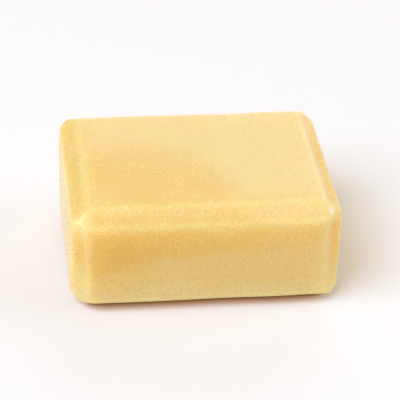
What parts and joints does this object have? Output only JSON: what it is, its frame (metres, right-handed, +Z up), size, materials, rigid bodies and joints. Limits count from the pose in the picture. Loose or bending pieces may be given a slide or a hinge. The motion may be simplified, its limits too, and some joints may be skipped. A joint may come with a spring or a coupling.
{
  "type": "clay bar",
  "caption": "Rectangular block of detailing clay with bevelled edges, kneaded and rubbed over wet car paint to lift bonded grit.",
  "frame": {"origin": "centre of the underside, on the surface the bar lies on", "axes": "+X along the length, +Y across the width, +Z up out of the top face"},
  "size_m": [0.074, 0.0576, 0.031],
  "materials": {
    "clay": "satin, waxy, pale amber"
  },
  "bodies": {
    "root": {"clay_bar": "clay"}
  },
  "joints": []
}
